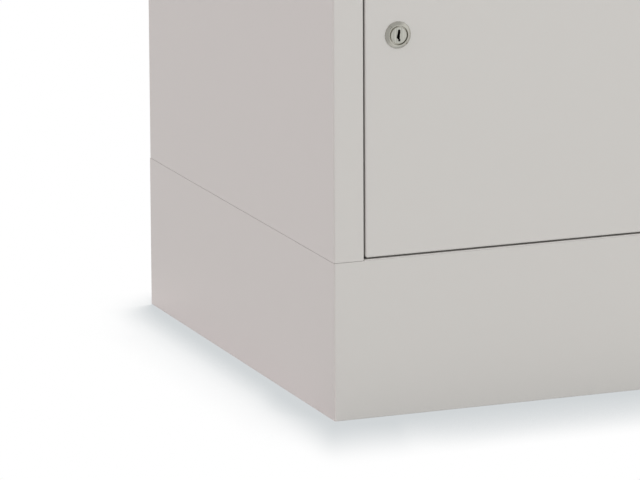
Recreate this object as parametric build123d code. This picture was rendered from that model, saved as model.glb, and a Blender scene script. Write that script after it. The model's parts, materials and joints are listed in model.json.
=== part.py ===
from build123d import *
import os

# Compartment locker in folded sheet steel: one column of compartments over a closed plinth.
# Millimetres. X runs to the right, Y from the front to the back, Z up from the floor.

# Overall sizes
locker_width = 400.0
locker_depth = 500.0
locker_height = 1850.0
plinth_height = 150.0
compartment_count = 4

# Sheets, their bends and the relief cut beside a bend
body_sheet = 1.0
deck_sheet = 1.2
back_sheet = 0.8
door_sheet = 1.0
plinth_sheet = 1.5
bracket_sheet = 3.0
bend_radius = 0.8
relief_width = 3.0

# Clearances between fixed pieces, and the one overrun of all cuts
weld_gap = 0.1
seam_gap = 0.3
mitre_gap = 0.5
cut_overrun = 5.0

# Front frame, flanges and stops of the body
stile_width = 30.0
top_rail_height = 30.0
stop_depth = 19.5
stop_lip_width = 12.0
rear_flange_width = 20.0
deck_flange_height = 15.0
stop_rail_height = 20.0
stop_rail_foot = 20.0

# Holes for fixing the back to a wall
wall_hole_radius = 4.5
wall_hole_spacing = 240.0
wall_hole_drop = 60.0

# Doors and the stiffener inside each
door_gap = 1.3
door_pan_depth = 16.0
door_lip_width = 12.0
door_corner_radius = 2.5
door_fold_radius = 1.6
stiffener_sheet = 0.8
stiffener_web = 36.0
stiffener_foot = 14.0
stiffener_depth = 12.0
stiffener_end_gap = 6.0

# Hinge pins and their bushes
pin_radius = 2.0
pin_from_door_edge = 8.0
pin_from_front = 5.5
pin_reach = 7.0
pin_collar_radius = 3.4
pin_collar_height = 0.8
pin_fit = 0.05
bush_wall = 1.1
bush_length = 6.0
bush_flange_radius = 3.9
bush_flange_height = 1.1

# Rubber buffers on the closing edge of a door
buffer_radius = 4.5
buffer_air = 0.3
buffer_stem_radius = 2.4
buffer_barb_radius = 3.4
buffer_barb_height = 3.0
buffer_from_door_edge = 5.5
buffer_from_door_end = 40.0
buffer_crown = 0.8

# Cylinder cam lock: housing with its ring
lock_from_door_edge = 32.4
ring_radius = 12.6
ring_height = 3.0
ring_edge_height = 0.8
ring_edge_round = 0.4
ring_face_radius = 9.7
ring_face_round = 0.5
ring_recess_radius = 8.75
ring_recess_depth = 2.6
index_mark_width = 1.4
index_mark_depth = 0.5
index_mark_turn = 45.0
barrel_radius = 9.5
barrel_across_flats = 16.5
lock_nut_across_flats = 24.0
lock_nut_height = 4.0

# Cylinder cam lock: core, cam and screw
core_head_radius = 7.95
core_head_height = 2.5
core_head_chamfer = 0.4
core_body_radius = 7.0
core_fit = 0.05
core_square = 7.0
keyway_height = 10.6
keyway_width = 2.1
keyway_depth = 16.0
keyway_round = 0.25
keyway_chamfer = 0.2
cam_gap = 0.5
cam_thickness = 2.0
cam_reach = 32.0
cam_hub_radius = 9.0
cam_tip_radius = 6.5
cam_screw_radius = 2.5
cam_screw_length = 9.0
cam_screw_head_radius = 5.0
cam_screw_head_height = 2.6
cam_screw_slot_width = 1.2
cam_screw_slot_depth = 1.2

# Plinth and its corner brackets
plinth_flange_width = 25.0
plinth_corner_radius = 1.8
plinth_fold_radius = 0.6
bracket_size = 66.0
bracket_height = 28.0
bracket_flange_height = 30.0
bracket_free_round = 12.0

# Levelling feet
foot_from_corner = 46.0
foot_radius = 16.0
foot_height = 5.0
foot_chamfer = 1.0
foot_boss_radius = 9.0
foot_boss_height = 9.0
foot_socket_depth = 10.0
level_screw_radius = 5.0
level_screw_length = 62.0
level_nut_across_flats = 17.0
level_nut_height = 8.0
jam_nut_height = 5.0

# Bolts between the bottom panel and the plinth
plinth_bolt_radius = 3.0
plinth_bolt_length = 14.0
plinth_bolt_head_radius = 5.25
plinth_bolt_head_height = 3.3
plinth_bolt_head_round = 1.2
plinth_bolt_from_side = 14.0
plinth_bolt_from_end = 95.0
plinth_bolt_socket = 4.0
plinth_bolt_socket_depth = 2.0
plinth_nut_across_flats = 10.0
plinth_nut_height = 5.0
screw_clearance = 0.3
thread_fit = 0.05

# Keyway outline as seen from the front, as shares of its width and of its height
keyway_shares = [
    (-0.35, 0.50), (0.58, 0.50), (0.58, 0.24), (0.34, 0.04), (0.42, -0.10), (0.26, -0.24),
    (0.52, -0.38), (0.52, -0.50), (-0.30, -0.50), (-0.28, -0.36), (-1.05, -0.17), (-0.60, 0.16),
]

# Places worked out from the sizes above
front_y = (ring_height - locker_depth) / 2
back_y = front_y + locker_depth
centre_y = (front_y + back_y) / 2
half_width = locker_width / 2
opening_half = half_width - stile_width
door_half = opening_half - door_gap
stop_y = front_y + stop_depth
behind_stop_y = stop_y + body_sheet + seam_gap
behind_stile_y = front_y + body_sheet + seam_gap
frame_half = opening_half - seam_gap
notch_half = opening_half - stop_lip_width - seam_gap
rear_frame_half = half_width - rear_flange_width - seam_gap
deck_half = half_width - body_sheet - weld_gap
inner_half = deck_half - bend_radius
back_panel_y = (back_y - deck_sheet - weld_gap - back_sheet, back_y - deck_sheet - weld_gap)
shelf_rear_y = back_panel_y[0] - weld_gap
floor_top_z = plinth_height + deck_sheet
top_under_z = locker_height - deck_sheet
rail_bottom_z = locker_height - top_rail_height
tier_pitch = (rail_bottom_z - floor_top_z + deck_sheet) / compartment_count
door_height = tier_pitch - deck_sheet - door_gap - door_gap
pin_place = (door_half - pin_from_door_edge, front_y + pin_from_front)
bush_radius = pin_radius + pin_fit + bush_wall
foot_place = (foot_from_corner - half_width, front_y + foot_from_corner)
barrel_length = stop_depth + body_sheet
cam_face = -barrel_length - cam_gap
cam_back = cam_face - cam_thickness
quarter_turn = 90
eighth_turn = 45


def tier_floor(tier):
    """Height of the floor of a compartment, counted from 0 at the bottom."""
    return floor_top_z + tier * tier_pitch


def block(x_limits, y_limits, z_limits):
    """Box between three pairs of limits."""
    limits = (x_limits, y_limits, z_limits)
    middle = [(low + high) / 2 for low, high in limits]
    sizes = [high - low for low, high in limits]
    return Pos(*middle) * Box(*sizes)


def both(half):
    """Limits of a piece that is as wide on the left as on the right."""
    return (-half, half)


def rod(place, z_limits, radius):
    """Upright cylinder between two heights."""
    low, high = z_limits
    return Pos(*place, (low + high) / 2) * Cylinder(radius, high - low)


def hex_nut(place, z_limits, across_flats, bore_radius):
    """Hexagon nut with its bore, between two heights."""
    low, high = z_limits
    blank = extrude(RegularPolygon(across_flats / 2, 6, major_radius=False), amount=high - low)
    nut = Pos(*place, low) * blank
    return nut - rod(place, (low - cut_overrun, high + cut_overrun), bore_radius)


def bent_section(skin, sheet):
    """Section of a bent sheet that lies to the right of its skin line, with rounded bends."""
    points = [Vector(*point) for point in skin]
    heads = [(after - before).normalized() for before, after in zip(points, points[1:])]
    rights = [Vector(head.Y, -head.X) for head in heads]
    inner = [points[0] + rights[0] * sheet]
    skin_radii = [0]
    inner_radii = [0]
    for point, head, before, after in zip(points[1:], heads, rights, rights[1:]):
        inner.append(point + (before + after) * (sheet / (1 + before.dot(after))))
        turns_right = head.dot(after) < 0
        skin_radii.append(bend_radius + sheet if turns_right else bend_radius)
        inner_radii.append(bend_radius if turns_right else bend_radius + sheet)
    inner.append(points[-1] + rights[-1] * sheet)
    outline = points + inner[::-1]
    radii = skin_radii + [0, 0] + inner_radii[::-1]
    return make_face(FilletPolyline(*outline, radius=radii, close=True))


def bent_along_z(skin, sheet, z_limits):
    """Bent sheet drawn in plan and run upwards."""
    low, high = z_limits
    return extrude(Plane.XY.offset(low) * bent_section(skin, sheet), amount=high - low)


def bent_along_x(skin, sheet, x_limits):
    """Bent sheet drawn from the side, depth by height, and run to the right."""
    low, high = x_limits
    return extrude(Plane.YZ.offset(low) * bent_section(skin, sheet), amount=high - low)


def bent_along_y(skin, sheet, y_limits):
    """Bent sheet drawn from the front, width by height, and run to the back."""
    low, high = y_limits
    return extrude(Plane.XZ.offset(-low) * bent_section(skin, sheet), amount=low - high)


def save(shape, name):
    """Write one sub-part; a list of solids becomes one group."""
    group = Compound(children=shape) if isinstance(shape, list) else shape
    export_step(group, f"parts/{name}.step")


# Side panel: wall, stile, return, stop lip and rear flange in one folded sheet

def left_side_panel():
    skin = [
        (-opening_half + stop_lip_width, stop_y),
        (-opening_half, stop_y),
        (-opening_half, front_y),
        (-half_width, front_y),
        (-half_width, back_y),
        (-half_width + rear_flange_width, back_y),
    ]
    panel = bent_along_z(skin, body_sheet, (plinth_height + seam_gap, locker_height))
    inside_x = (-inner_half - weld_gap, 0)
    inside_y = (behind_stile_y - weld_gap, behind_stop_y)
    panel -= block(inside_x, inside_y, (0, floor_top_z + weld_gap))
    return panel - block(inside_x, inside_y, (top_under_z - weld_gap, locker_height + cut_overrun))


# Decks: the folded sheet that the shelves, the bottom panel and the top panel share

def folded_deck(rear_y, rear_half):
    """Deck behind the stop lips, with its skin at height zero and its flanges turned down."""
    low = -deck_flange_height
    side_skin = [(-deck_half, low), (-deck_half, 0), (deck_half, 0), (deck_half, low)]
    rear_skin = [(centre_y, 0), (rear_y, 0), (rear_y, low)]
    deck = bent_along_y(side_skin, deck_sheet, (behind_stop_y, shelf_rear_y - relief_width))
    return deck + bent_along_x(rear_skin, deck_sheet, both(rear_half))


def bottom_panel():
    sheet_z = (plinth_height, floor_top_z)
    panel = Pos(0, 0, plinth_height) * folded_deck(back_y, rear_frame_half).mirror(Plane.XY)
    panel += block(both(frame_half), (front_y, behind_stop_y), sheet_z)
    panel += block(both(inner_half), (behind_stile_y, behind_stop_y), sheet_z)
    panel += block(both(inner_half), (centre_y, back_y - body_sheet - seam_gap), sheet_z)
    through = (plinth_height - cut_overrun, floor_top_z + cut_overrun)
    panel -= rod(pin_place, through, pin_radius + pin_fit)
    for place in plinth_bolt_places():
        panel -= rod(place, through, plinth_bolt_radius + screw_clearance)
    return panel


def top_panel():
    front_skin = [
        (stop_y, rail_bottom_z - stop_lip_width),
        (stop_y, rail_bottom_z),
        (front_y, rail_bottom_z),
        (front_y, locker_height),
        (centre_y, locker_height),
    ]
    panel = Pos(0, 0, locker_height) * folded_deck(back_y, rear_frame_half)
    panel += bent_along_x(front_skin, deck_sheet, both(frame_half))
    sheet_z = (top_under_z, locker_height)
    panel += block(both(inner_half), (centre_y, back_y - body_sheet - seam_gap), sheet_z)
    for side in (-1, 1):
        strip_x = sorted((side * frame_half, side * inner_half))
        panel += block(strip_x, (behind_stile_y, behind_stop_y), sheet_z)
        lip_x = sorted((side * notch_half, side * half_width))
        panel -= block(lip_x, (stop_y - seam_gap, behind_stop_y), (plinth_height, top_under_z))
    through = (rail_bottom_z - cut_overrun, rail_bottom_z + cut_overrun)
    return panel - rod(pin_place, through, pin_radius + pin_fit)


def shelf(top_z):
    sheet_z = (top_z - deck_sheet, top_z)
    deck = Pos(0, 0, top_z) * folded_deck(shelf_rear_y, inner_half - relief_width)
    deck += block(both(notch_half), (front_y, behind_stop_y), sheet_z)
    deck += block(both(frame_half), (front_y, stop_y - seam_gap), sheet_z)
    through = (top_z - deck_sheet - cut_overrun, top_z + cut_overrun)
    return deck - rod(pin_place, through, pin_radius + pin_fit)


def stop_rail(shelf_under_z):
    """Angle under the front of a shelf that the top edge of a door closes against."""
    high = shelf_under_z - weld_gap
    skin = [(stop_y, high - stop_rail_height), (stop_y, high), (stop_y + stop_rail_foot, high)]
    return bent_along_x(skin, deck_sheet, both(notch_half))


def back_panel():
    panel = block(both(inner_half), back_panel_y, (floor_top_z + bend_radius, top_under_z - bend_radius))
    for side in (-1, 1):
        hole = Cylinder(wall_hole_radius, back_sheet + cut_overrun)
        place = Pos(side * wall_hole_spacing / 2, back_panel_y[0], locker_height - wall_hole_drop)
        panel -= place * Rot(X=quarter_turn) * hole
    return panel


# Hinge pins: one in each deck, each with a collar but for the welded one at the bottom

def hinge_pins():
    grip = door_gap + pin_reach
    pins = [rod(pin_place, (plinth_height, floor_top_z + grip), pin_radius)]
    for tier in range(1, compartment_count):
        under = tier_floor(tier) - deck_sheet
        pin = rod(pin_place, (under - grip, tier_floor(tier) + grip), pin_radius)
        pins.append(pin + rod(pin_place, (under - pin_collar_height, under), pin_collar_radius))
    seat = rail_bottom_z + deck_sheet
    top_pin = rod(pin_place, (rail_bottom_z - grip, seat + pin_collar_height), pin_radius)
    pins.append(top_pin + rod(pin_place, (seat, seat + pin_collar_height), pin_collar_radius))
    return pins


# Plinth: a folded frame, its rear rail, and the brackets that hold the levelling feet

def plinth_bolt_places():
    """Centres of the bolts that hold the body on the plinth."""
    x = half_width - plinth_bolt_from_side
    depths = (front_y + plinth_bolt_from_end, back_y - plinth_bolt_from_end)
    return [(side * x, y) for side in (-1, 1) for y in depths]


def plinth_frame():
    inside = half_width - plinth_sheet
    window = half_width - plinth_flange_width
    past_back = back_y + cut_overrun
    through = (-cut_overrun, plinth_height + cut_overrun)
    hollow_z = (plinth_sheet, plinth_height - plinth_sheet)
    frame = block(both(half_width), (front_y, back_y), (0, plinth_height))
    upright = frame.edges().filter_by(Axis.Z).group_by(Axis.Y)[0]
    frame = fillet(upright, plinth_corner_radius)
    rims = frame.faces().filter_by(Axis.Z).edges()
    rims = rims.filter_by_position(Axis.Y, front_y, back_y, (True, False))
    frame = fillet(rims, plinth_fold_radius)
    hollow = block(both(inside), (front_y + plinth_sheet, past_back), hollow_z)
    upright = hollow.edges().filter_by(Axis.Z).group_by(Axis.Y)[0]
    frame -= fillet(upright, plinth_corner_radius - plinth_sheet)
    frame -= block(both(window), (front_y + plinth_flange_width, past_back), through)
    frame -= block(both(inside), (back_y - plinth_sheet - seam_gap, past_back), through)
    past_flange = plinth_flange_width + cut_overrun
    slot_length = (past_flange - plinth_sheet) * 2**0.5
    middle = (past_flange + plinth_sheet) / 2
    for side in (-1, 1):
        slot = Rot(Z=side * eighth_turn) * Box(mitre_gap, slot_length, plinth_height + cut_overrun)
        frame -= Pos(side * (half_width - middle), front_y + middle, plinth_height / 2) * slot
    for place in plinth_bolt_places():
        upper_z = (plinth_height / 2, plinth_height + cut_overrun)
        frame -= rod(place, upper_z, plinth_bolt_radius + screw_clearance)
    return frame


def plinth_rear_rail():
    rail_half = half_width - plinth_sheet - weld_gap
    skin = [
        (back_y - plinth_flange_width, plinth_height),
        (back_y, plinth_height),
        (back_y, 0),
        (back_y - plinth_flange_width, 0),
    ]
    rail = bent_along_x(skin, plinth_sheet, both(rail_half))
    end_y = (back_y - plinth_flange_width - cut_overrun, back_y - plinth_sheet)
    for side in (-1, 1):
        end_x = sorted((side * (half_width - plinth_flange_width - seam_gap), side * half_width))
        rail -= block(end_x, end_y, (-cut_overrun, plinth_height + cut_overrun))
    return rail


def at_plinth_corners(pieces):
    """The same pieces in all four corners, from those at the front left."""
    across = Plane.XZ.offset(-centre_y)
    front = pieces + [piece.mirror(Plane.YZ) for piece in pieces]
    return front + [piece.mirror(across) for piece in front]


def plinth_brackets():
    corner_x = plinth_sheet + seam_gap - half_width
    corner_y = front_y + plinth_sheet + seam_gap
    x_limits = (corner_x, corner_x + bracket_size)
    y_limits = (corner_y, corner_y + bracket_size)
    plate_z = (bracket_height, bracket_height + bracket_sheet)
    flange_z = (bracket_height, bracket_height + bracket_flange_height)
    plate = block(x_limits, y_limits, plate_z)
    free_edge = plate.edges().filter_by(Axis.Z).sort_by(Axis.X)[-2:].sort_by(Axis.Y)[-1]
    bracket = fillet(free_edge, bracket_free_round)
    bracket += block((corner_x, corner_x + bracket_sheet), y_limits, flange_z)
    bracket += block(x_limits, (corner_y, corner_y + bracket_sheet), flange_z)
    bracket -= rod(foot_place, (0, plinth_height), level_screw_radius + screw_clearance)
    return at_plinth_corners([bracket])


def foot_pads():
    pad = rod(foot_place, (0, foot_height), foot_radius)
    pad = chamfer(pad.faces().sort_by(Axis.Z)[-1].edges(), foot_chamfer)
    boss_top = foot_height + foot_boss_height
    pad += rod(foot_place, (foot_height, boss_top), foot_boss_radius)
    socket = (boss_top - foot_socket_depth, boss_top + cut_overrun)
    return at_plinth_corners([pad - rod(foot_place, socket, level_screw_radius + thread_fit)])


def levelling_screws():
    low = foot_height + foot_boss_height - foot_socket_depth
    return at_plinth_corners([rod(foot_place, (low, low + level_screw_length), level_screw_radius)])


def levelling_nuts():
    plate_top = bracket_height + bracket_sheet
    nut_z = (plate_top, plate_top + level_nut_height)
    jam_nut_z = (bracket_height - jam_nut_height, bracket_height)
    across = level_nut_across_flats
    bore = level_screw_radius + thread_fit
    return at_plinth_corners([hex_nut(foot_place, z_limits, across, bore) for z_limits in (nut_z, jam_nut_z)])


def plinth_bolts():
    bolts = []
    for place in plinth_bolt_places():
        top = floor_top_z + plinth_bolt_head_height
        head = rod(place, (floor_top_z, top), plinth_bolt_head_radius)
        head = fillet(head.faces().sort_by(Axis.Z)[-1].edges(), plinth_bolt_head_round)
        hexagon = RegularPolygon(plinth_bolt_socket / 2, 6, major_radius=False)
        socket = extrude(hexagon, -plinth_bolt_socket_depth)
        bolt = head + rod(place, (floor_top_z - plinth_bolt_length, floor_top_z), plinth_bolt_radius)
        bolts.append(bolt - Pos(*place, top) * socket)
    return bolts


def plinth_nuts():
    under = plinth_height - plinth_sheet
    z_limits = (under - plinth_nut_height, under)
    bore = plinth_bolt_radius + thread_fit
    return [hex_nut(place, z_limits, plinth_nut_across_flats, bore) for place in plinth_bolt_places()]


# Door: a folded pan with a lip all round its back, drawn with its bottom edge at height zero

door_inside_y = front_y + door_sheet
door_lip_y = (front_y + door_pan_depth - door_sheet, front_y + door_pan_depth)


def rounded_block(half, y_limits, z_limits, corner, fold):
    """Box with its four corners rounded, seen from the front, and its front rim rounded over."""
    body = block(both(half), y_limits, z_limits)
    body = fillet(body.edges().filter_by(Axis.Y), corner)
    return fillet(body.faces().sort_by(Axis.Y)[0].edges(), fold)


def rod_through_sheet(x, z, y_limits, radius):
    """Cylinder that runs from front to back between two depths."""
    low, high = y_limits
    return Pos(x, (low + high) / 2, z) * Rot(X=quarter_turn) * Cylinder(radius, high - low)


def door_pan():
    outer_y = (front_y, door_lip_y[1])
    inner_y = (door_inside_y, door_lip_y[0])
    inner_z = (door_sheet, door_height - door_sheet)
    corner = door_corner_radius - door_sheet
    fold = door_fold_radius - door_sheet
    pan = rounded_block(door_half, outer_y, (0, door_height), door_corner_radius, door_fold_radius)
    pan -= rounded_block(door_half - door_sheet, inner_y, inner_z, corner, fold)
    window = both(door_half - door_lip_width)
    past_lip = (door_lip_y[0] - weld_gap, door_lip_y[1] + cut_overrun)
    pan -= block(window, past_lip, (door_lip_width, door_height - door_lip_width))
    past_lip_edge = door_lip_width + cut_overrun
    middle = (past_lip_edge + door_sheet) / 2
    slot_length = (past_lip_edge - door_sheet) * 2**0.5
    for side in (-1, 1):
        for end_z, lean in ((middle, side), (door_height - middle, -side)):
            slot = Rot(Y=-lean * eighth_turn) * Box(slot_length, past_lip[1] - past_lip[0], mitre_gap)
            pan -= Pos(side * (door_half - middle), sum(past_lip) / 2, end_z) * slot
    pan -= rod(pin_place, (-cut_overrun, door_height + cut_overrun), bush_radius + pin_fit)
    for x, z in buffer_places():
        pan -= rod_through_sheet(x, z, past_lip, buffer_stem_radius + pin_fit)
    return pan - lock_plane * lock_hole()


def stiffener():
    """Top-hat channel welded upright in the middle of the door."""
    foot_y = door_inside_y + weld_gap + stiffener_sheet
    web_y = door_inside_y + stiffener_depth
    web = stiffener_web / 2
    foot = web + stiffener_foot
    skin = [(-foot, foot_y), (-web, foot_y), (-web, web_y), (web, web_y), (web, foot_y), (foot, foot_y)]
    end = door_sheet + stiffener_end_gap
    return bent_along_z(skin, stiffener_sheet, (end, door_height - end))


def hinge_bushes():
    """Bush under the bottom of the door, with its flange below, and bush inside its top."""
    low = rod(pin_place, (-bush_flange_height, 0), bush_flange_radius)
    low += rod(pin_place, (-bush_flange_height, bush_length), bush_radius)
    top_inside = door_height - door_sheet
    high = rod(pin_place, (top_inside - bush_flange_height, top_inside), bush_flange_radius)
    high += rod(pin_place, (door_height - bush_length, door_height), bush_radius)
    bore = rod(pin_place, (-cut_overrun, door_height + cut_overrun), pin_radius + pin_fit)
    return [low - bore, high - bore]


def buffer_places():
    """Widths and heights of the buffers, on the lip at the closing edge."""
    x = buffer_from_door_edge - door_half
    return [(x, buffer_from_door_end), (x, door_height - buffer_from_door_end)]


def buffers():
    pieces = []
    head_y = (door_lip_y[1], stop_y - buffer_air)
    barb_y = (door_lip_y[0] - buffer_barb_height, door_lip_y[0])
    for x, z in buffer_places():
        head = rod_through_sheet(x, z, head_y, buffer_radius)
        head = fillet(head.faces().sort_by(Axis.Y)[-1].edges(), buffer_crown)
        stem = rod_through_sheet(x, z, door_lip_y, buffer_stem_radius)
        barb = rod_through_sheet(x, z, barb_y, buffer_barb_radius)
        pieces.append(head + stem + barb)
    return pieces


# Lock: drawn from the front, with its axis at the origin and the door's face at height zero

lock_x = lock_from_door_edge - door_half
lock_plane = Plane(origin=(lock_x, front_y, door_height / 2), x_dir=(1, 0, 0), z_dir=(0, -1, 0))


def double_flat(radius, across_flats, z_limits):
    """Cylinder with a flat on its left and right sides."""
    low, high = z_limits
    side = radius + radius
    return rod((0, 0), z_limits, radius) & block(both(across_flats / 2), both(side), (low, high))


def lock_hole():
    grown = screw_clearance / 2
    across = barrel_across_flats + screw_clearance
    return double_flat(barrel_radius + grown, across, (-door_sheet - weld_gap, cut_overrun))


def lock_housing():
    bore = core_body_radius + core_fit
    recess_z = ring_height - ring_recess_depth
    outline = [
        (bore, 0), (ring_radius, 0), (ring_radius, ring_edge_height), (ring_face_radius, ring_height),
        (ring_recess_radius, ring_height), (ring_recess_radius, recess_z), (bore, recess_z),
    ]
    radii = [0, 0, ring_edge_round, ring_face_round, 0, 0, 0]
    section = make_face(FilletPolyline(*outline, radius=radii, close=True))
    ring = revolve(Plane.XZ * section, Axis.Z)
    for turn in (index_mark_turn, index_mark_turn + quarter_turn + quarter_turn):
        mark = Box(index_mark_depth + index_mark_depth, ring_radius, index_mark_width)
        ring -= Rot(Z=turn) * Pos(0, ring_radius, ring_height) * Rot(Y=quarter_turn) * mark
    barrel = double_flat(barrel_radius, barrel_across_flats, (-barrel_length, 0))
    return ring + (barrel - rod((0, 0), (-barrel_length, 0), bore))


def lock_nut():
    z_limits = (-door_sheet - lock_nut_height, -door_sheet)
    return hex_nut((0, 0), z_limits, lock_nut_across_flats, barrel_radius + thread_fit)


def lock_core():
    head = rod((0, 0), (ring_height - core_head_height, ring_height), core_head_radius)
    head = chamfer(head.faces().sort_by(Axis.Z)[-1].edges(), core_head_chamfer)
    core = head + rod((0, 0), (cam_face, ring_height - core_head_height), core_body_radius)
    core += block(both(core_square / 2), both(core_square / 2), (cam_back, cam_face))
    points = [(x * keyway_width, z * keyway_height) for x, z in keyway_shares]
    outline = make_face(FilletPolyline(*points, radius=keyway_round, close=True))
    keyway_floor = Plane.XY.offset(ring_height - keyway_depth)
    core -= extrude(keyway_floor * outline, amount=keyway_depth + cut_overrun)
    face = core.faces().filter_by(Axis.Z).sort_by(Axis.Z)[-1]
    core = chamfer(face.inner_wires()[0].edges(), keyway_chamfer)
    screw_hole_z = (cam_back - cut_overrun, cam_back + cam_screw_length)
    return core - rod((0, 0), screw_hole_z, cam_screw_radius + thread_fit)


def lock_cam():
    """Cam that hangs down while unlocked and turns behind the stop lip to lock."""
    outline = [
        *Circle(cam_hub_radius).edges(),
        *(Pos(0, cam_tip_radius - cam_reach) * Circle(cam_tip_radius)).edges(),
    ]
    plate = extrude(Plane.XY.offset(cam_back) * make_hull(outline), amount=cam_thickness)
    hole = core_square / 2 + core_fit
    return plate - block(both(hole), both(hole), (cam_back - cut_overrun, cam_face + cut_overrun))


def lock_cam_screw():
    head_z = cam_back - cam_screw_head_height
    screw = rod((0, 0), (head_z, cam_back), cam_screw_head_radius)
    screw += rod((0, 0), (cam_back, cam_back + cam_screw_length - thread_fit), cam_screw_radius)
    slot_z = (head_z - cut_overrun, head_z + cam_screw_slot_depth)
    return screw - block(both(cam_screw_slot_width / 2), both(cam_screw_head_radius), slot_z)


# Every sub-part, written under its own name

def main():
    os.makedirs("parts", exist_ok=True)
    left = left_side_panel()
    save(left, "left_side_panel")
    save(left.mirror(Plane.YZ), "right_side_panel")
    save(back_panel(), "back_panel")
    save(top_panel(), "top_panel")
    save(bottom_panel(), "bottom_panel")
    for tier in range(1, compartment_count):
        save(shelf(tier_floor(tier)), f"shelf_{tier}")
        save(stop_rail(tier_floor(tier) - deck_sheet), f"stop_rail_{tier}")
    save(hinge_pins(), "hinge_pins")
    save(plinth_frame(), "plinth_frame")
    save(plinth_rear_rail(), "plinth_rear_rail")
    save(plinth_brackets(), "plinth_brackets")
    save(foot_pads(), "foot_pads")
    save(levelling_screws(), "levelling_screws")
    save(levelling_nuts(), "levelling_nuts")
    save(plinth_bolts(), "plinth_bolts")
    save(plinth_nuts(), "plinth_nuts")

    lock_place = lock_plane.location
    door_pieces = {
        "pan": [door_pan()],
        "stiffener": [stiffener()],
        "bushes": hinge_bushes(),
        "buffers": buffers(),
    }
    lock_pieces = {
        "housing": lock_housing(),
        "nut": lock_nut(),
        "core": lock_core(),
        "cam": lock_cam(),
        "cam_screw": lock_cam_screw(),
    }
    for tier in range(compartment_count):
        place = Pos(0, 0, tier_floor(tier) + door_gap)
        for name, solids in door_pieces.items():
            copies = [place * solid for solid in solids]
            save(copies if len(copies) > 1 else copies[0], f"door_{tier + 1}_{name}")
        for name, solid in lock_pieces.items():
            save(place * lock_place * solid, f"lock_{tier + 1}_{name}")


main()
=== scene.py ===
# %% [markdown]
# # A compartment locker, dressed for its picture
# The construction model holds every sheet, nut and pin of the locker at its true size and place.
# Blender loads it as a fixed frame, and this file adds what a drawing leaves out: paint, plating,
# threads, the light and the camera. Everything is in metres, and no part of the model is moved.

# %% Load the frame
import json
import math
import bmesh
import bpy
from mathutils import Matrix, Vector


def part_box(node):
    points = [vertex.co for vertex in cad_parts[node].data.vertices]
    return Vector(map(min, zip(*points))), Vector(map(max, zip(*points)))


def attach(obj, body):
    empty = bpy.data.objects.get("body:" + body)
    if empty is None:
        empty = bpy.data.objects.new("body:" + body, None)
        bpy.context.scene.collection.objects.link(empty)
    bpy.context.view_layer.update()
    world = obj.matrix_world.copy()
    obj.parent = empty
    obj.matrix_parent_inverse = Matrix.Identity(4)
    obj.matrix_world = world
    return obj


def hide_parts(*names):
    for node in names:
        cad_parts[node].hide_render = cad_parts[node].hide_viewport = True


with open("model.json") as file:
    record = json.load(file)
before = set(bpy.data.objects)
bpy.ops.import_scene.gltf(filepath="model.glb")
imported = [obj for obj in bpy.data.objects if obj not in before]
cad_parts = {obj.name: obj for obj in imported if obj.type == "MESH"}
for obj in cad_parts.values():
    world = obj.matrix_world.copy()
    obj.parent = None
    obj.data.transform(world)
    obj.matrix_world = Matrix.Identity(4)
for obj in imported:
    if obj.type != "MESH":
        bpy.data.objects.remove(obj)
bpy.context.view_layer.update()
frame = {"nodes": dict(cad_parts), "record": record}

nodes = frame["nodes"]

# %% [markdown]
# ## The camera
# The picture is taken with a long lens from the front left, a little above the locker's middle, and it
# shows only the lowest part: the plinth, and the first door up to its lock. A long lens from far away
# keeps upright edges nearly parallel. The place, the aim and the lens were worked out from corners whose
# heights and depths are known, and a tiny roll shares the rest of the error between left and right.

# %% Camera
camera_place = Vector((-2.1189, -5.1320, 1.3847))
camera_yaw = 21.312
camera_pitch = 13.008
camera_roll = -0.302
camera_lens = 330.0

camera = bpy.data.objects.new("camera", bpy.data.cameras.new("camera"))
bpy.context.scene.collection.objects.link(camera)
camera.data.lens = camera_lens
camera.data.sensor_width = 36
camera.data.clip_end = 200
turn = Matrix.Rotation(math.radians(-camera_yaw), 4, "Z")
tilt = Matrix.Rotation(math.radians(90 - camera_pitch), 4, "X")
roll = Matrix.Rotation(math.radians(camera_roll), 4, "Z")
camera.matrix_world = Matrix.Translation(camera_place) @ turn @ tilt @ roll
bpy.context.scene.camera = camera
print("camera", round(camera_place.length, 2), "m from the middle of the plinth's foot")

# %% [markdown]
# ## Finishes as node trees
# A finish is a small tree of nodes round one Principled shader. The first helpers make a tree, put a node in
# it, and do the sums that most trees want: two values as one, a dot product, and how clear a place is.

# %% Helpers for nodes
def new_finish(name, **settings):
    """A material with a Principled shader, and values for the shader's own sockets."""
    finish = bpy.data.materials.new(name)
    finish.use_nodes = True
    shader = finish.node_tree.nodes["Principled BSDF"]
    for socket, value in settings.items():
        shader.inputs[socket.replace("_", " ")].default_value = value
    return finish.node_tree, shader


def add_node(tree, kind, values=None, **inputs):
    """A node with its settings, and inputs by name, or as i0, i1 by number, from values or other nodes."""
    made = tree.nodes.new(kind)
    for name, value in (values or {}).items():
        setattr(made, name, value)
    for name, value in inputs.items():
        socket = made.inputs[int(name[1:])] if name[0] == "i" and name[1:].isdigit() else made.inputs[name]
        if isinstance(value, bpy.types.NodeSocket):
            tree.links.new(value, socket)
        else:
            socket.default_value = value
    return made


def combined(tree, operation, first, second):
    """Two values as one: the smaller, the larger, their product or their difference."""
    return add_node(tree, "ShaderNodeMath", {"operation": operation}, i0=first, i1=second).outputs[0]


def dot(tree, first, second):
    """How far one vector goes along another."""
    product = add_node(tree, "ShaderNodeVectorMath", {"operation": "DOT_PRODUCT"}, i0=first, i1=second)
    return product.outputs["Value"]


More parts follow.
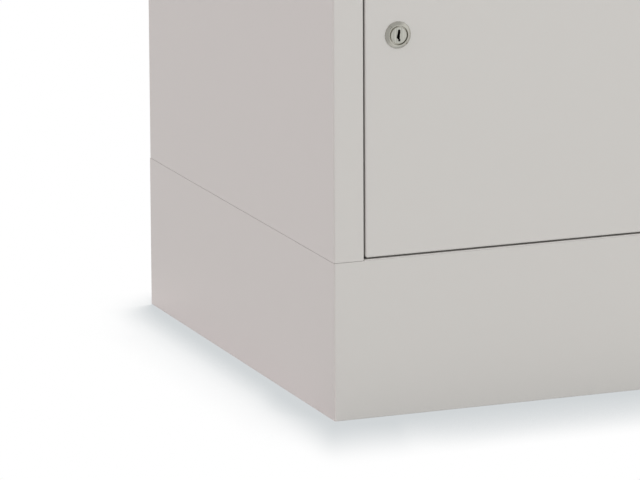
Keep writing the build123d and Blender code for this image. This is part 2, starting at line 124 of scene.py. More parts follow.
def clear_share(tree, reach, samples, towards=None):
    """How much is clear within a reach of a point, towards a direction if one is given."""
    clear = add_node(tree, "ShaderNodeAmbientOcclusion", {"samples": samples}, Distance=reach)
    if towards is not None:
        aim = add_node(tree, "ShaderNodeCombineXYZ", X=towards[0], Y=towards[1], Z=towards[2])
        tree.links.new(aim.outputs["Vector"], clear.inputs["Normal"])
    return clear.outputs["AO"]


# %% [markdown]
# Most finishes want the same few things: a noise in the object's own coordinates, so that grain has a true
# size in metres, a blend of two colours and a bump. Colours are written as the grey level that a screen
# shows, with a tint over it.

# %% Helpers for grain, colour and bumps
def object_place(tree, stretch=(1, 1, 1)):
    """Coordinates in metres that stay with the piece, stretched where a grain has a direction."""
    place = add_node(tree, "ShaderNodeTexCoord").outputs["Object"]
    return add_node(tree, "ShaderNodeMapping", Vector=place, Scale=stretch).outputs["Vector"]


def grain(tree, place, per_metre, detail=2.0):
    """Noise with about so many lumps in a metre."""
    return add_node(tree, "ShaderNodeTexNoise", Vector=place, Scale=per_metre, Detail=detail).outputs["Fac"]


def between(tree, value, low, high, out_low, out_high, course="LINEAR"):
    """A value moved from one range to another, and kept inside it."""
    ranged = add_node(tree, "ShaderNodeMapRange", {"interpolation_type": course}, Value=value)
    for name, number in zip(("From Min", "From Max", "To Min", "To Max"), (low, high, out_low, out_high)):
        ranged.inputs[name].default_value = number
    return ranged.outputs["Result"]


def blend(tree, share, first, second):
    """Two colours, mixed by a value from 0 to 1."""
    mix = add_node(tree, "ShaderNodeMix", {"data_type": "RGBA"}, Factor=share)
    for socket, colour in zip((mix.inputs[6], mix.inputs[7]), (first, second)):
        if isinstance(colour, bpy.types.NodeSocket):
            tree.links.new(colour, socket)
        else:
            socket.default_value = (*colour, 1)
    return mix.outputs[2]


def emboss(tree, height, depth, under=None):
    """A bump of so many metres, on top of another one if there is one."""
    bump = add_node(tree, "ShaderNodeBump", Height=height, Distance=depth, Strength=1.0)
    if under is not None:
        tree.links.new(under, bump.inputs["Normal"])
    return bump.outputs["Normal"]


def grey(level, tint=(1.0, 1.0, 1.0)):
    """A screen level from 0 to 255 as linear colour, with a tint over it."""
    share = level / 255
    linear = share / 12.92 if share < 0.04045 else ((share + 0.055) / 1.055) ** 2.4
    return tuple(linear * part for part in tint)


# %% [markdown]
# ## Powder coat
# The sheets are sprayed with powder and baked. The skin melts together into a very fine orange peel, half
# matt, warm light grey. Close up there are three scales: slow changes of thickness over a hand's width,
# the peel with its lumps of about two millimetres, and dust-fine speckle. Edges get a painted highlight:
# they are made lighter, as where light catches them. A Bevel node finds those edges: it compares the rounded
# direction of the surface with the true one. The round of a fold, where a surface faces none of the six
# ways, gets a painted highlight too.

# %% Powder coat
coat_tint = (1.0, 0.978, 0.935)
edge_radius = 0.0006
peel_depth = 0.00006
fine_peel_depth = 0.000012
coat_tree, coat = new_finish("powder_coat", Roughness=0.46, IOR=1.5, Coat_Weight=0.0)
coat_place = object_place(coat_tree)
slow = between(coat_tree, grain(coat_tree, coat_place, 7, 3.0), 0.35, 0.65, 0.0, 1.0)
speckle = between(coat_tree, grain(coat_tree, coat_place, 2600, 1.0), 0.35, 0.65, 0.0, 1.0)
coat_colour = blend(coat_tree, slow, grey(200, coat_tint), grey(204, coat_tint))
speckle_share = between(coat_tree, speckle, 0, 1, 0.0, 0.12)
coat_colour = blend(coat_tree, speckle_share, coat_colour, grey(178, coat_tint))
edge_bend = add_node(coat_tree, "ShaderNodeBevel", {"samples": 4}, Radius=edge_radius).outputs["Normal"]
true_face = add_node(coat_tree, "ShaderNodeNewGeometry").outputs["Normal"]
# Painted highlight: edges found by the Bevel node are made lighter, as where light catches them.
painted_edge_highlight = between(coat_tree, dot(coat_tree, edge_bend, true_face), 0.75, 1.0, 0.6, 0.0)
coat_colour = blend(coat_tree, painted_edge_highlight, coat_colour, grey(226, coat_tint))
facing = add_node(coat_tree, "ShaderNodeTexCoord").outputs["Normal"]
facing = add_node(coat_tree, "ShaderNodeVectorMath", {"operation": "ABSOLUTE"}, i0=facing).outputs["Vector"]
sides = add_node(coat_tree, "ShaderNodeSeparateXYZ", Vector=facing).outputs
flatness = combined(coat_tree, "MAXIMUM", combined(coat_tree, "MAXIMUM", sides["X"], sides["Y"]), sides["Z"])
# Painted highlight: the round of a fold is made lighter, as where light catches it.
painted_fold_highlight = between(coat_tree, flatness, 0.93, 0.998, 0.22, 0.0)
coat_colour = blend(coat_tree, painted_fold_highlight, coat_colour, grey(240, coat_tint))
coat_tree.links.new(coat_colour, coat.inputs["Base Color"])
coat_tree.links.new(between(coat_tree, speckle, 0, 1, 0.42, 0.52), coat.inputs["Roughness"])
peel = emboss(coat_tree, grain(coat_tree, coat_place, 420, 2.0), peel_depth, edge_bend)
fine_peel = emboss(coat_tree, grain(coat_tree, coat_place, 1500, 1.0), fine_peel_depth, peel)
coat_tree.links.new(fine_peel, coat.inputs["Normal"])
print("powder coat", [round(part, 3) for part in grey(202, coat_tint)])

# %% [markdown]
# ## Plated metal
# The lock is nickel on die-cast zinc: a warm, slightly grey mirror, dulled by fine tumbling marks. The nuts,
# screws, pins and the cam are bright zinc, colder and blotchy from the bath. Both are metals, so their
# colour tints the reflection. Uneven roughness does most of the work, with tiny scratches as bump. Narrow
# grooves get painted shade, darkest under an edge that stands towards the upper right, as if lit from there.

# %% Nickel and zinc
painted_shade_reach = 0.0012
painted_light_side = (0.45, -0.55, 0.70)


def plated(name, light, dark, tint, rough, blotches, scratch):
    """Plated metal: two tones in blotches, uneven roughness, fine scratches, and painted shade in narrow
    grooves.
    """
    tree, shader = new_finish(name, Metallic=1.0)
    place = object_place(tree)
    blotch = between(tree, grain(tree, place, blotches, 4.0), 0.35, 0.65, 0.0, 1.0)
    fine = grain(tree, place, blotches * 14, 2.0)
    clean = blend(tree, blotch, grey(dark, tint), grey(light, tint))
    # Painted shade: narrow grooves darken towards grey 60, most under an edge towards the upper right, as if
    # lit from there.
    painted_shade_openness = between(tree, clear_share(tree, painted_shade_reach, 8, painted_light_side), 0.20, 0.62, 0.0, 1.0)
    tree.links.new(blend(tree, painted_shade_openness, grey(60, tint), clean), shader.inputs["Base Color"])
    tree.links.new(between(tree, fine, 0.3, 0.7, rough * 0.8, rough * 1.25), shader.inputs["Roughness"])
    scratches = grain(tree, object_place(tree, (1, 1, 8)), blotches * 9, 2.0)
    tree.links.new(emboss(tree, scratches, scratch), shader.inputs["Normal"])


nickel_tint = (1.0, 0.995, 0.90)
plated("nickel", 190, 178, nickel_tint, 0.38, 160, 0.00001)
plated("zinc_steel", 196, 172, (0.98, 1.0, 1.03), 0.36, 90, 0.00001)
print("plated finishes", [m.name for m in bpy.data.materials if "powder" not in m.name])

# %% [markdown]
# The face of the lock's core is ground flat, and the grinding leaves upright streaks. Noise that is
# stretched twenty times along the grinding direction gives them, once in the height and once in the colour.

# %% Ground face of the core
face_tree, face_shader = new_finish("ground_nickel", Metallic=1.0)
streak_place = object_place(face_tree, (1, 1, 0.05))
streak = grain(face_tree, streak_place, 1500, 3.0)
streak_share = between(face_tree, streak, 0.35, 0.65, 0.0, 1.0)
streak_colour = blend(face_tree, streak_share, grey(166, nickel_tint), grey(204, nickel_tint))
face_tree.links.new(streak_colour, face_shader.inputs["Base Color"])
face_tree.links.new(between(face_tree, streak, 0.3, 0.7, 0.26, 0.44), face_shader.inputs["Roughness"])
face_tree.links.new(emboss(face_tree, streak, 0.000025), face_shader.inputs["Normal"])

# %% [markdown]
# ## Plastic, rubber, and grease in painted shade
# The bushes are milky natural nylon, the buffers soft black rubber and the foot pads moulded black plastic
# with a spark-eroded skin. Inside the key's slot there is greasy brass, painted very dark as the shade deep
# in the slot.

# %% Moulded finishes
def moulded(name, level, other, tint, rough, lumps, depth, **settings):
    """Moulded plastic or rubber: cloudy colour and the grain that its mould leaves."""
    tree, shader = new_finish(name, **settings)
    place = object_place(tree)
    cloud = between(tree, grain(tree, place, lumps / 9, 3.0), 0.3, 0.7, 0.0, 1.0)
    skin = grain(tree, place, lumps, 3.0)
    tree.links.new(blend(tree, cloud, grey(level, tint), grey(other, tint)), shader.inputs["Base Color"])
    tree.links.new(between(tree, skin, 0.3, 0.7, rough * 0.85, rough * 1.15), shader.inputs["Roughness"])
    tree.links.new(emboss(tree, skin, depth), shader.inputs["Normal"])


milky = {"Subsurface_Weight": 0.15, "Subsurface_Scale": 0.001}
moulded("nylon", 218, 208, (1.0, 0.985, 0.93), 0.42, 900, 0.00001, **milky)
moulded("rubber", 46, 38, (1.0, 1.0, 1.0), 0.78, 1400, 0.00003)
moulded("black_plastic", 52, 44, (0.98, 1.0, 1.02), 0.55, 1800, 0.00002)
# Greasy brass, painted very dark for the shade deep in the key's slot.
moulded("slot_grease", 30, 22, (1.0, 0.92, 0.75), 0.7, 1200, 0.00001, Metallic=0.4)
print(len(bpy.data.materials), "finishes")

# %% [markdown]
# ## The finishes go on the frame
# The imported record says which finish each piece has. The loader brings plain stand-in materials, so every
# piece gets its own list of one.

# %% Finish by piece
def finish_on(piece, name):
    """One finish in place of a piece's stand-in materials, and smooth faces."""
    piece.data.materials.clear()
    piece.data.materials.append(bpy.data.materials[name])
    for face in piece.data.polygons:
        face.use_smooth = True


for part in frame["record"]["subparts"]:
    finish_on(nodes[part["node"]], part["material_slot"])
coated = sum(part["material_slot"] == "powder_coat" for part in frame["record"]["subparts"])
print(coated, "pieces in powder coat")

# %% [markdown]
# ## Meshes from rings
# Screws, nuts, pads and the lock's ring are all bodies whose outline changes along an axis. One helper is
# enough for them: it takes rings of points and joins neighbouring rings with four-sided faces. A function
# gives the radius at each height and angle, so a hexagon, a thread or a flat is only another rule for that
# radius.

# %% Rings of points
mm = 0.001
same_point = 1e-7


def circle(segments):
    """The angles of so many points round a circle."""
    return [2 * math.pi * count / segments for count in range(segments)]


def point(reach, angle, height):
    """A point by its distance from the axis, its angle and its height."""
    return (reach * math.cos(angle), reach * math.sin(angle), height)


def skin(name, rings, finish, sharp, capped=False):
    """A mesh over rings of points, with equal points merged and edges sharp from an angle on."""
    shape = bmesh.new()
    loops = [[shape.verts.new(place) for place in ring] for ring in rings]
    for low, high in zip(loops, loops[1:]):
        for count in range(len(low)):
            after = (count + 1) % len(low)
            shape.faces.new((low[count], low[after], high[after], high[count]))
    if capped:
        shape.faces.new(loops[0][::-1])
        shape.faces.new(loops[-1])
    bmesh.ops.remove_doubles(shape, verts=shape.verts, dist=same_point)
    bmesh.ops.recalc_face_normals(shape, faces=shape.faces)
    mesh = bpy.data.meshes.new(name)
    shape.to_mesh(mesh)
    shape.free()
    mesh.materials.append(bpy.data.materials[finish])
    mesh.shade_smooth()
    mesh.set_sharp_from_angle(angle=math.radians(sharp))
    return mesh


def stacked(name, heights, radius_at, segments, finish, sharp, bore=0.0):
    """A body of stacked rings on its own Z axis. radius_at(step, height, angle) gives each point's radius."""
    rings = [
        [point(radius_at(step, height, angle), angle, height) for angle in circle(segments)]
        for step, height in enumerate(heights)
    ]
    if bore:
        ends = (heights[-1], heights[0])
        rings += [[point(bore, angle, height) for angle in circle(segments)] for height in ends]
        rings.append(rings[0])
    return skin(name, rings, finish, sharp, capped=not bore)


# %% [markdown]
# A mesh made here stands for a piece of the frame, which it hides. It rides on that piece's body, so that it
# moves with it, and carries its finish on its mesh.

# %% Meshes in their places
def joined(name, meshes_and_places):
    """One mesh out of several of one finish, each moved to its place."""
    shape = bmesh.new()
    for mesh, place in meshes_and_places:
        copy = mesh.copy()
        copy.transform(Matrix.Translation(place))
        shape.from_mesh(copy)
        bpy.data.meshes.remove(copy)
    whole = bpy.data.meshes.new(name)
    shape.to_mesh(whole)
    shape.free()
    whole.materials.append(meshes_and_places[0][0].materials[0])
    return whole


def put(mesh, name, place, body, replaced, matrix=None):
    """An object of a mesh at a place, riding on a body, standing for nodes of the frame."""
    piece = bpy.data.objects.new(name, mesh)
    bpy.context.scene.collection.objects.link(piece)
    piece.matrix_world = Matrix.Translation(place) @ (matrix or Matrix.Identity(4))
    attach(piece, body)
    if replaced:
        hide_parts(*replaced)


# %% [markdown]
# ## Threads and nuts
# A screw thread is a ridge that climbs one pitch in each turn. In a stack of rings that is a rule for the
# radius: how far a point is up the ridge depends on its height less its angle's share of the pitch. A nut is
# a hexagon whose corners are cut back by a flat cone above and below.

# %% Rules for the radius
thread_share = 0.55
flank_slope = 1.3
crest_share = 0.15
steps_per_pitch = 8
nut_face_share = 0.95
nut_edge_share = 0.985


def thread_radius(height, angle, outer, pitch, depth):
    """Radius of a thread: full at the crest, less by the depth at the root."""
    phase = (height / pitch - angle / (2 * math.pi)) % 1
    return outer - depth * min(1.0, max(0.0, abs(2 * phase - 1) * flank_slope - crest_share))


def screw_mesh(name, outer, pitch, length, chamfer, finish):
    """A threaded rod with both ends chamfered."""
    steps = round(length / (pitch / steps_per_pitch))
    heights = [length * step / steps for step in range(steps + 1)]

    def reach(step, height, angle):
        end = max(0.0, chamfer - height, height - length + chamfer)
        return thread_radius(height, angle, outer - end, pitch, pitch * thread_share)

    return stacked(name, heights, reach, 32, finish, sharp=50)


def nut_mesh(name, across, height, bore, finish):
    """A hexagon nut with its corners cut back and a bore."""
    flat = across / 2
    drop = (flat / math.cos(math.pi / 6) - flat) * math.tan(math.radians(30))

    def reach(step, level, angle):
        corner = flat / math.cos((angle + math.pi / 6) % (math.pi / 3) - math.pi / 6)
        if step in (0, 5):
            return flat * nut_face_share
        if step in (1, 4):
            return min(corner, flat * nut_edge_share)
        return corner

    levels = [0, 0, drop, height - drop, height, height]
    return stacked(name, levels, reach, 96, finish, sharp=28, bore=bore)


# %% [markdown]
# ## Levelling feet
# Each corner of the plinth stands on a threaded screw with a plastic pad. The thread, the nuts' cut corners
# and the pad's ribs are what the eye finds when the locker is seen from below, so all three are modelled.
# The bracket in the plinth's corner is held between a tall nut above it and a flat one below.

# %% Levelling screws and nuts
origin = (0, 0, 0)
running_fit = 0.05 * mm
foot_x = 154 * mm
foot_ys = (-202.5 * mm, 205.5 * mm)
foot_places = [Vector((x, y, 0)) for x in (-foot_x, foot_x) for y in foot_ys]
screw_radius = 5.0 * mm
screw_pitch = 1.5 * mm
screw_length = 62 * mm
screw_chamfer = 1.0 * mm
screw_lift = Vector((0, 0, 4 * mm))
nut_across = 17 * mm
tall_nut_height = 8 * mm
tall_nut_lift = Vector((0, 0, 31 * mm))
flat_nut_height = 5 * mm
flat_nut_lift = Vector((0, 0, 23 * mm))

screw_sizes = (screw_radius, screw_pitch, screw_length, screw_chamfer)
foot_screw = screw_mesh("levelling_thread", *screw_sizes, "zinc_steel")
screws = joined("levelling_screws_threaded", [(foot_screw, place + screw_lift) for place in foot_places])
put(screws, "levelling_screws_threaded", origin, "root", ["levelling_screws"])

nut_bore = screw_radius + running_fit
tall_nut = nut_mesh("levelling_nut_mesh", nut_across, tall_nut_height, nut_bore, "zinc_steel")
flat_nut = nut_mesh("jam_nut_mesh", nut_across, flat_nut_height, nut_bore, "zinc_steel")
nut_pair = ((tall_nut, tall_nut_lift), (flat_nut, flat_nut_lift))
nuts = joined("levelling_nuts_cut", [(nut, place + lift) for place in foot_places for nut, lift in nut_pair])
put(nuts, "levelling_nuts_cut", origin, "root", ["levelling_nuts"])
print("levelling screws and nuts", len(screws.vertices) + len(nuts.vertices), "points")

# %% [markdown]
# The pad is a shallow plastic disc with a boss for the screw. Twelve ribs run from the boss to the rim, as
# mouldings have them for stiffness; a rib is a narrow range of angles where the disc is higher.

# %% Foot pads
pad_outline = [
    (0.0, 0.0), (15.0, 0.0), (16.0, 0.8), (16.0, 3.2), (15.4, 3.8), (9.4, 3.8), (9.0, 4.2),
    (8.4, 13.6), (8.0, 14.0), (5.6, 14.0), (5.05, 13.5), (5.05, 4.0), (0.0, 4.0),
]
ribbed_rings = (4, 5)
rib_height = 1.2
points_per_rib = 12
points_on_rib = (0, 1)


def pad_level(ring, count, height):
    """Height of the pad at a point: more on a rib."""
    on_rib = ring in ribbed_rings and count % points_per_rib in points_on_rib
    return height + (rib_height if on_rib else 0.0)


pad_rings = [
    [point(reach * mm, angle, pad_level(ring, count, height) * mm) for count, angle in enumerate(circle(144))]
    for ring, (reach, height) in enumerate(pad_outline)
]
foot_pad = skin("foot_pad_mesh", pad_rings, "black_plastic", 30)
pads = joined("foot_pads_ribbed", [(foot_pad, place) for place in foot_places])
put(pads, "foot_pads_ribbed", origin, "root", ["foot_pads"])
print("pads", len(pads.vertices), "points")

# %% [markdown]
# ## Nuts under the body
# Four small nuts hold the body on the plinth from below.

# %% Plinth nuts
bolt_x = 186 * mm
bolt_ys = (-153.5 * mm, 156.5 * mm)
bolt_radius = 3.0 * mm
small_nut_across = 10 * mm
small_nut_height = 5 * mm
small_nut_z = 143.5 * mm
small_nut_bore = bolt_radius + running_fit
bolt_places = [Vector((x, y, small_nut_z)) for x in (-bolt_x, bolt_x) for y in bolt_ys]
small_nut = nut_mesh("plinth_nut_mesh", small_nut_across, small_nut_height, small_nut_bore, "zinc_steel")
small_nuts = joined("plinth_nuts_cut", [(small_nut, place) for place in bolt_places])
put(small_nuts, "plinth_nuts_cut", origin, "root", ["plinth_nuts"])

# %% [markdown]
# ## The lock's ring and barrel
# The lock is the only thing on the smooth door that catches the eye, so it gets the closest look. A die-cast
# ring with a sloping side stands three millimetres proud, with a groove round the core and two small marks
# in its slope. Behind the sheet the barrel is threaded, with a flat on each side that keeps it from turning.
# All four locks share one mesh, made lying in the XY plane and turned so that its axis points at the viewer.

# %% Ring and threaded barrel
ring_proud = 3.0 * mm
lock_count = 4
lock_places = []
for number in range(1, lock_count + 1):
    low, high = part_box(f"lock_{number}_housing")
    lock_places.append(Vector(((low.x + high.x) / 2, low.y + ring_proud, (low.z + high.z) / 2)))
face_viewer = Matrix.Rotation(math.radians(90), 4, "X")

ring_segments = 360
core_bore = 7.05
bore_front = 0.40
ring_outline = [
    (core_bore, bore_front), (8.75, bore_front), (8.75, 2.30), (8.8, 2.50), (9.05, 2.82), (9.3, 2.96),
    (9.5, 3.0), (9.7, 2.98), (9.95, 2.86), (12.2, 1.12), (12.45, 0.88), (12.58, 0.66), (12.6, 0.50),
    (12.6, 0.12), (12.5, 0.0),
]
mark_angles = (math.radians(135), math.radians(315))
mark_half_width = 0.72
mark_depth = 0.55
mark_start_radius = 8.9
mark_start_height = 0.87

barrel_radius = 9.5
barrel_front = -0.02
barrel_back = -20.48
barrel_steps = 160
barrel_pitch = 1.0
barrel_thread_depth = 0.5
barrel_chamfer = 0.6
barrel_half_flats = 8.25


def ring_level(reach, angle, height):
    """Height of the ring at a point: lower inside the two marks."""
    away = min(abs((angle - mark + math.pi) % (2 * math.pi) - math.pi) for mark in mark_angles)
    on_slope = height > mark_start_height and reach > mark_start_radius
    return height - (mark_depth if on_slope and away * reach < mark_half_width else 0.0)


def barrel_reach(level, angle):
    """Radius of the barrel: its thread, chamfered at the back, cut by a flat on each side."""
    end = max(0.0, barrel_chamfer - (level - barrel_back))
    reach = thread_radius(level, angle, barrel_radius - end, barrel_pitch, barrel_thread_depth)
    across = abs(math.cos(angle))
    return min(reach, barrel_half_flats / across) if across > 0.01 else reach


barrel_length = barrel_front - barrel_back
barrel_levels = [barrel_front - barrel_length * step / barrel_steps for step in range(barrel_steps + 1)]
lock_rings = [
    [point(reach * mm, angle, ring_level(reach, angle, height) * mm) for angle in circle(ring_segments)]
    for reach, height in ring_outline
]
lock_rings += [
    [point(barrel_reach(level, angle) * mm, angle, level * mm) for angle in circle(ring_segments)]
    for level in barrel_levels
]
lock_rings += [
    [point(core_bore * mm, angle, level * mm) for angle in circle(ring_segments)]
    for level in (barrel_back, bore_front)
]
lock_ring = skin("lock_ring_mesh", lock_rings, "nickel", 32)
for number, place in enumerate(lock_places, 1):
    name, body, housed = f"lock_{number}_ring", f"door_{number}", f"lock_{number}_housing"
    put(lock_ring, name, place, body, [housed], face_viewer)
print("lock ring", len(lock_ring.vertices), "points, centres", [round(p.z, 4) for p in lock_places])

# %% [markdown]
# The nut behind the door sheet is wide and flat, with its corners cut back.

# %% Lock nuts
lock_nut_across = 24 * mm
lock_nut_height = 4 * mm
lock_nut_bore = barrel_radius * mm + running_fit
lock_nut_behind = Vector((0, 5 * mm, 0))
wide_nut = nut_mesh("lock_nut_mesh", lock_nut_across, lock_nut_height, lock_nut_bore, "zinc_steel")
for number, place in enumerate(lock_places, 1):
    name, body, housed = f"lock_{number}_nut_cut", f"door_{number}", f"lock_{number}_nut"
    put(wide_nut, name, place + lock_nut_behind, body, [housed], face_viewer)

# %% [markdown]
# ## The core of the lock
# The core is a polished disc with a narrow chamfer and a crooked slot for the key. Its solid in the frame has
# that slot already, so it stays, and its faces are sorted by what they are: the flat front takes the ground
# finish, the walls of the slot the dark one. A face's place is enough to tell them apart.

# %% Ground face and dark slot
ground_from = 2.95 * mm
slot_radius = 6.2 * mm
slot_depth = 13.2 * mm
for number, place in enumerate(lock_places, 1):
    core = nodes[f"lock_{number}_core"]
    for extra in ("ground_nickel", "slot_grease"):
        core.data.materials.append(bpy.data.materials[extra])
    counts = [0, 0, 0]
    for face in core.data.polygons:
        away = face.center - place
        if away.y < -ground_from:
            face.material_index = 1
        elif math.hypot(away.x, away.z) < slot_radius and away.y < slot_depth:
            face.material_index = 2
        counts[face.material_index] += 1
print("core faces: plain, ground, slot", counts)

# %% [markdown]
# Behind the front of the slot sit the wafers, thin brass plates that the key lifts. They are only seen as a
# glint deep in the slot, but without them the slot looks like an empty hole.

# %% Wafers
wafer_lifts = (0.7, -0.4, 0.9, -0.8, 0.3)
wafer_front = 0.2
wafer_pitch = 2.4
wafer_thickness = 0.8
wafer_half_height = 5.6
wafer_window = (-3.3, 3.5)
wafer_sides = (0.16, 0.66)
wafer_edge = 0.04 * mm


def wafer_mesh():
    """Thin plates with a key window, one behind another, across the slot."""
    shape = bmesh.new()
    for count, lift in enumerate(wafer_lifts):
        front = -(wafer_front + wafer_pitch * count)
        below, above = (edge + lift for edge in wafer_window)
        for heights in ((-wafer_half_height, below), (above, wafer_half_height)):
            for side in (-1, 1):
                limits = sorted(side * edge for edge in wafer_sides)
                low, high = (
                    [shape.verts.new((x * mm, y * mm, z * mm)) for y in heights for x in limits]
                    for z in (front - wafer_thickness, front)
                )
                for a, b in ((0, 1), (1, 3), (3, 2), (2, 0)):
                    shape.faces.new((low[a], low[b], high[b], high[a]))
                shape.faces.new((low[0], low[2], low[3], low[1]))
                shape.faces.new((high[0], high[1], high[3], high[2]))
    bmesh.ops.bevel(shape, geom=shape.edges[:], offset=wafer_edge, segments=1, affect="EDGES")
    bmesh.ops.recalc_face_normals(shape, faces=shape.faces)
    mesh = bpy.data.meshes.new("lock_wafer_mesh")
    shape.to_mesh(mesh)
    shape.free()
    mesh.materials.append(bpy.data.materials["slot_grease"])
    return mesh


wafers = wafer_mesh()
for number, place in enumerate(lock_places, 1):
    put(wafers, f"lock_{number}_wafers", place, f"lock_{number}", (), face_viewer)
print("wafers", len(wafers.polygons), "faces")

# %% [markdown]
# ## Floor
# The picture stands on plain white with a small, soft, bluish shadow round the plinth. The floor is one large
# plate. To the camera and to shiny things it glows at exactly white, less where something stands close over
# it: an Ambient Occlusion node with a short reach measures that, and one that looks back along the floor
# carries the shadow farther out in front. Off the front corner little stands in their reach, so two soft arms
# along the foot of the walls lead the shadow round it.

# %% The plate and its shadow
floor_half = 40.0
floor_drop = 0.0002
shadow_white = (1.0, 1.0, 1.0)
shadow_colour = (0.48, 0.52, 0.54)
beside_reach = 0.085
front_reach = 0.155
look_back = (0.15, 1.0, 0.3)
darkest_beside = 0.26
darkest = 0.30

floor_mesh = bpy.data.meshes.new("floor")
floor_corners = [(x * floor_half, y * floor_half, 0) for x, y in ((-1, -1), (1, -1), (1, 1), (-1, 1))]
floor_mesh.from_pydata(floor_corners, [], [(0, 1, 2, 3)])
floor = bpy.data.objects.new("floor", floor_mesh)
bpy.context.scene.collection.objects.link(floor)
floor.location.z = -floor_drop

floor_tree, floor_shader = new_finish("floor_white", Roughness=0.9, Specular_IOR_Level=0.1)
floor_shader.inputs["Base Color"].default_value = (0.62, 0.62, 0.62, 1)
near = clear_share(floor_tree, beside_reach, 16)
in_front = clear_share(floor_tree, front_reach, 16, look_back)
near_shade = between(floor_tree, near, 0.50, 0.955, darkest_beside, 1.0, "SMOOTHSTEP")
front_shade = between(floor_tree, in_front, 0.40, 0.88, darkest, 1.0)
wall_shade = combined(floor_tree, "MINIMUM", near_shade, front_shade)

# %% [markdown]
# An arm of the shadow is a straight piece along the foot of a wall, with a round end. Two vectors measure how
# far a point lies along the wall and away from it, in shares of the shadow's width. A camera that looks down
# so little shortens depth far more than width, so the vectors differ in length and one of each pair leans.
# In the picture both arms look equally wide.

# %% Two arms from the front corner
foot_corner = Vector((-0.2, -0.2485, 0.0))
arm_length = 1.3
front_arm = (Vector((22.9, -7.94, 0.0)), Vector((0.0, 6.3, 0.0)))
side_arm = (Vector((-17.95, 10.15, 0.0)), Vector((14.27, 0.0, 0.0)))
join_width = 0.2
white_after_join = 0.966

floor_place = add_node(floor_tree, "ShaderNodeTexCoord").outputs["Object"]
off_corner = add_node(floor_tree, "ShaderNodeVectorMath", {"operation": "SUBTRACT"},
                      i0=floor_place, i1=foot_corner).outputs["Vector"]


def arm_reach(along_wall, off_wall):
    """Distance from one arm, in shares of the shadow's width."""
    along = dot(floor_tree, off_corner, along_wall)
    on_arm = between(floor_tree, along, 0.0, arm_length, 0.0, arm_length)
    past_end = combined(floor_tree, "SUBTRACT", along, on_arm)
    off = dot(floor_tree, off_corner, off_wall)
    both = add_node(floor_tree, "ShaderNodeCombineXYZ", X=past_end, Y=off).outputs["Vector"]
    return add_node(floor_tree, "ShaderNodeVectorMath", {"operation": "LENGTH"}, i0=both).outputs["Value"]


nearest_arm = combined(floor_tree, "MINIMUM", arm_reach(*front_arm), arm_reach(*side_arm))
arm_shade = between(floor_tree, nearest_arm, 0.0, 1.0, darkest, 1.0, "SMOOTHSTEP")
joined_shades = add_node(floor_tree, "ShaderNodeMath", {"operation": "SMOOTH_MIN"},
                         i0=wall_shade, i1=arm_shade, i2=join_width).outputs[0]
shade = between(floor_tree, joined_shades, darkest, white_after_join, darkest, 1.0)
floor_glow = blend(floor_tree, shade, shadow_colour, shadow_white)

# %% [markdown]
# Reflections see the floor grey in front on the left, as if a card lay there. To everything else it is a
# plain light floor that passes light on, and beside the left wall it gives back a little more, because the
# foot of that wall is as light in the picture as its top.

# %% What each kind of ray sees
card_level = 0.62
lift_most = 0.82
rays = add_node(floor_tree, "ShaderNodeLightPath").outputs
across = add_node(floor_tree, "ShaderNodeSeparateXYZ", Vector=floor_place).outputs
before_doors = between(floor_tree, across["Y"], -0.34, -0.25, 1.0, 0.0)
on_the_left = between(floor_tree, across["X"], -0.45, -0.10, 1.0, 0.0)
card_share = combined(floor_tree, "MULTIPLY", before_doors, on_the_left)
card_share = combined(floor_tree, "MULTIPLY", card_share, rays["Is Glossy Ray"])
glow_level = between(floor_tree, card_share, 0.0, 1.0, 1.0, card_level)
glow = add_node(floor_tree, "ShaderNodeEmission", Color=floor_glow, Strength=glow_level).outputs["Emission"]

beside = between(floor_tree, across["X"], -0.205, -0.195, 1.0, 0.0)
lift = combined(floor_tree, "MULTIPLY", between(floor_tree, near, 0.50, 0.97, lift_most, 0.0), beside)
floor_shader.inputs["Emission Color"].default_value = (1.0, 0.82, 0.86, 1)
floor_tree.links.new(lift, floor_shader.inputs["Emission Strength"])

seen = combined(floor_tree, "MAXIMUM", rays["Is Camera Ray"], rays["Is Glossy Ray"])
seen = combined(floor_tree, "MAXIMUM", seen, rays["Is Transmission Ray"])
floor_mix = add_node(floor_tree, "ShaderNodeMixShader", Fac=seen, i1=floor_shader.outputs["BSDF"], i2=glow)
floor_tree.links.new(floor_mix.outputs["Shader"], floor_tree.nodes["Material Output"].inputs["Surface"])
floor.data.materials.append(bpy.data.materials["floor_white"])
print("floor", len(floor_tree.nodes), "nodes")

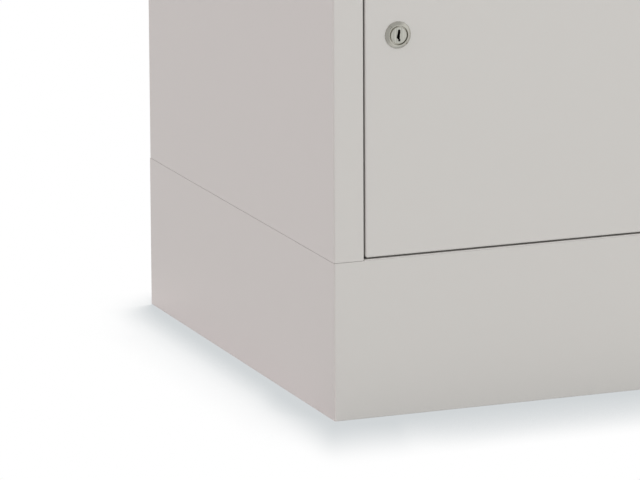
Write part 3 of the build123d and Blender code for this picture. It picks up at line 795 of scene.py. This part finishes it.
# %% [markdown]
# ## Light
# Product pictures are lit softly from all round, so that paint shows its own colour. The world gives most of
# the light, and large panels add a direction: the strongest in front of the doors, a rosy one on the left,
# and plain ones on the right, over the top and behind. A white room alone makes nickel look like paint,
# because there is nothing in it to reflect. Photographers stand grey cards beside shiny things for this. Here
# the world itself is grey up on the left and fades to white, for reflections only, so that no hard edge shows
# in a ring.

# %% World
surround_level = 0.645
card_heading = Vector((-0.55, -0.20, 0.81))
card_fade = 0.45

world = bpy.data.worlds.new("studio")
bpy.context.scene.world = world
world.use_nodes = True
world_tree = world.node_tree
world_rays = add_node(world_tree, "ShaderNodeLightPath").outputs
unlit = combined(world_tree, "MAXIMUM", world_rays["Is Camera Ray"], world_rays["Is Transmission Ray"])
soft_level = between(world_tree, unlit, 0, 1, surround_level, 1.0)
heading = add_node(world_tree, "ShaderNodeTexCoord").outputs["Generated"]
towards_card = dot(world_tree, heading, card_heading)
mirrored_level = between(world_tree, towards_card, 0.0, card_fade, 1.0, card_level)
world_level = blend(world_tree, world_rays["Is Glossy Ray"], soft_level, mirrored_level)
background = world_tree.nodes["Background"]
background.inputs["Color"].default_value = (1, 1, 1, 1)
world_tree.links.new(world_level, background.inputs["Strength"])
print("world", len(world_tree.nodes), "nodes")

# %% Lamps
lamp_aim = Vector((0, 0, 0.9))
lamp_size = 3.0
plain_light = (1.0, 1.0, 1.0)
rosy_light = (1.0, 0.66, 0.77)
lamps = (
    ("front_panel", (0.8, -5.0, 2.6), 110, plain_light),
    ("left_panel", (-5.0, -0.8, 2.2), 57, rosy_light),
    ("right_panel", (5.0, 0.5, 2.2), 60, plain_light),
    ("top_panel_light", (0, 0, 5.5), 60, plain_light),
    ("back_panel_light", (0, 5.0, 2.2), 60, plain_light),
)
for name, place, watts, colour in lamps:
    lamp = bpy.data.lights.new(name, "AREA")
    lamp.shape = "SQUARE"
    lamp.size = lamp_size
    lamp.energy = watts
    lamp.color = colour
    lit = bpy.data.objects.new(name, lamp)
    bpy.context.scene.collection.objects.link(lit)
    lit.location = place
    lit.rotation_euler = (lamp_aim - Vector(place)).to_track_quat("-Z", "Y").to_euler()
    lit.visible_camera = False
    lit.visible_glossy = False
bpy.context.scene.view_settings.view_transform = "Standard"
print(len(lamps), "lamps")
